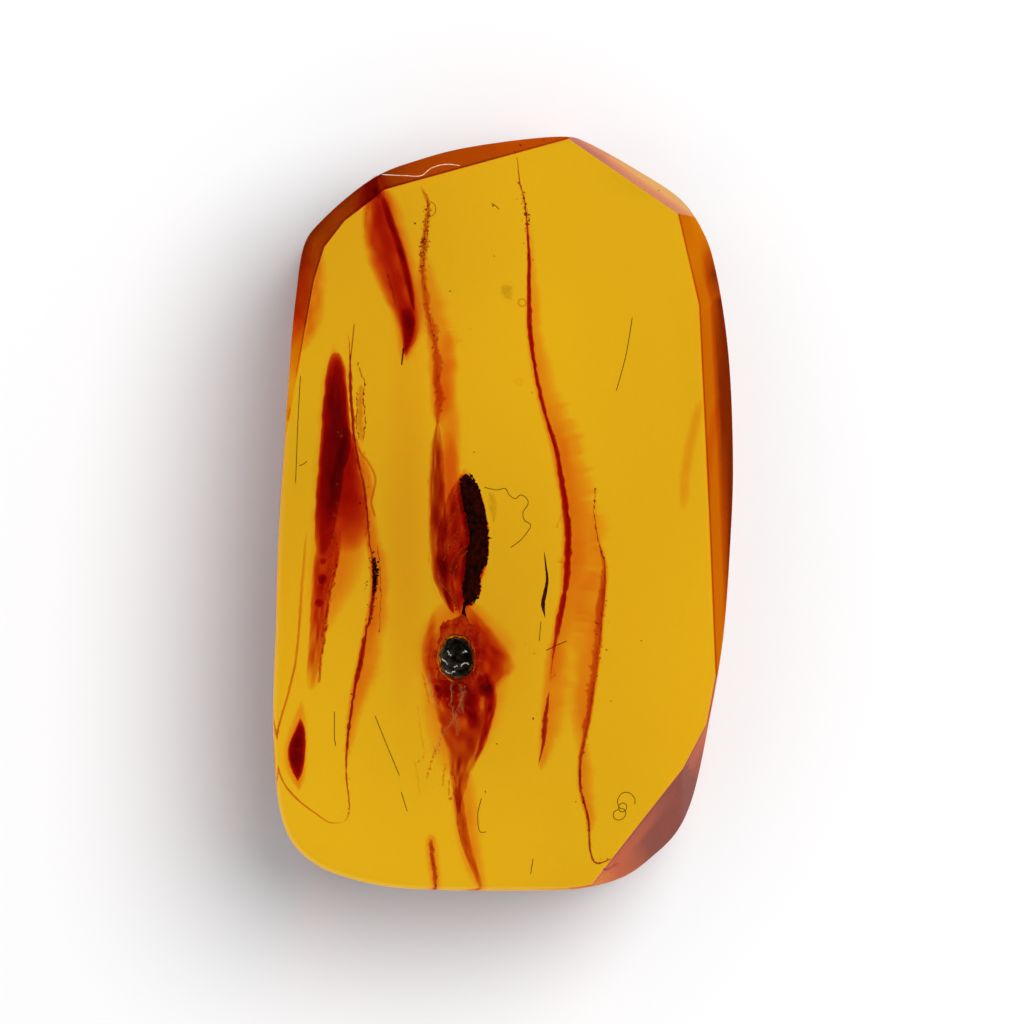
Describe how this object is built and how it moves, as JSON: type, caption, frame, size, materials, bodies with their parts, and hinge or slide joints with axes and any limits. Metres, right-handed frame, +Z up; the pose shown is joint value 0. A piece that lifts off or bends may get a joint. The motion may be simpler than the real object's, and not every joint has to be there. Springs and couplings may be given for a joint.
{
  "type": "insect in amber",
  "caption": "Hand-polished slab of golden amber with bevelled edges, a small open pit, and an insect and red seams sealed inside.",
  "frame": {"origin": "middle of the slab's outline, in the resting face", "axes": "+Z up through the polished window, +Y along the slab towards its bevelled top end, +X towards its bevelled long side"},
  "size_m": [0.0184, 0.03, 0.008],
  "materials": {
    "amber": "polished, see-through golden amber",
    "stained_resin": "see-through red-brown resin of the seams, pockets and haloes sealed in the slab",
    "insect": "dark brown chitin, satin",
    "crust": "dull tan crust and dark debris",
    "dust": "fine dust fibres"
  },
  "bodies": {
    "root": {"amber": "amber"}
  },
  "joints": []
}
